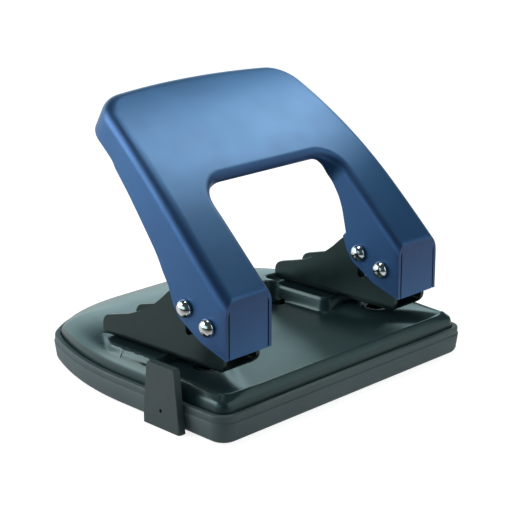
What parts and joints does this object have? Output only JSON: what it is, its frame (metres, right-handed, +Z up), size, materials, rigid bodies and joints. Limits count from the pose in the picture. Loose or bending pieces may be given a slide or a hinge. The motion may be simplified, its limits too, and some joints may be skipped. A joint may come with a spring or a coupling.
{
  "type": "two-hole punch",
  "caption": "Desk punch with a bowed pressed-steel lever on folded brackets, a sunk paper table, a clip-on chip tray and a sliding paper guide.",
  "frame": {"origin": "on the flat underside of the chip tray, midway between the two sides and straight below the lever's fulcrum line", "axes": "+Z up, +Y from the front, where the paper goes in, to the rear, +X to the right of a user who sits in front of it"},
  "size_m": [0.1191, 0.1076, 0.0929],
  "materials": {
    "lever_lacquer": "satin stoved lacquer, mid blue",
    "pan_lacquer": "semi-gloss lacquer, dark grey-green",
    "bracket_lacquer": "satin lacquer, near black",
    "tray_plastic": "moulded, fine matt grain",
    "guide_plastic": "moulded, fine matt grain",
    "pin_chrome": "bright plated",
    "rivet_steel": "zinc plated",
    "tool_steel": "ground",
    "spring_steel": "drawn wire"
  },
  "bodies": {
    "base": {"base_plate": "pan_lacquer", "bracket_left": "bracket_lacquer", "bracket_right": "bracket_lacquer", "bracket_rivet_left_front": "rivet_steel", "bracket_rivet_left_rear": "rivet_steel", "bracket_rivet_right_front": "rivet_steel", "bracket_rivet_right_rear": "rivet_steel", "die_left": "tool_steel", "die_right": "tool_steel", "return_spring_left": "spring_steel", "return_spring_right": "spring_steel", "guide_strap": "tool_steel", "guide_cradle": "tool_steel"},
    "tray": {"chip_tray": "tray_plastic"},
    "lever": {"lever": "lever_lacquer", "fulcrum_pin_left": "pin_chrome", "fulcrum_pin_right": "pin_chrome", "drive_pin_left": "pin_chrome", "drive_pin_right": "pin_chrome"},
    "cutter_left": {"cutter_left": "tool_steel", "spring_washer_left": "rivet_steel"},
    "cutter_right": {"cutter_right": "tool_steel", "spring_washer_right": "rivet_steel"},
    "guide": {"paper_guide": "guide_plastic"}
  },
  "joints": [
    {"name": "lever_hinge", "type": "hinge", "parent": "base", "child": "lever", "pos_m": [0, 0, 0.032], "axis": [-1, 0, 0], "range_deg": [0, 38.8], "stiffness_Nm_per_rad": 0.5, "springref_deg": -20.05},
    {"name": "cutter_left_slide", "type": "slide", "parent": "base", "child": "cutter_left", "axis": [0, 0, -1], "range_m": [0, 0.0069], "deforming": ["return_spring_left"]},
    {"name": "cutter_right_slide", "type": "slide", "parent": "base", "child": "cutter_right", "axis": [0, 0, -1], "range_m": [0, 0.0069], "deforming": ["return_spring_right"]},
    {"name": "guide_slide", "type": "slide", "parent": "base", "child": "guide", "axis": [-1, 0, 0], "range_m": [0, 0.091]},
    {"name": "tray_release", "type": "slide", "parent": "base", "child": "tray", "axis": [0, 0, -1], "range_m": [0, 0.012]}
  ],
  "couplings": [
    {"joint": "cutter_left_slide", "follows": "lever_hinge", "m_per_rad": 0.01001},
    {"joint": "cutter_right_slide", "follows": "lever_hinge", "m_per_rad": 0.01001}
  ]
}
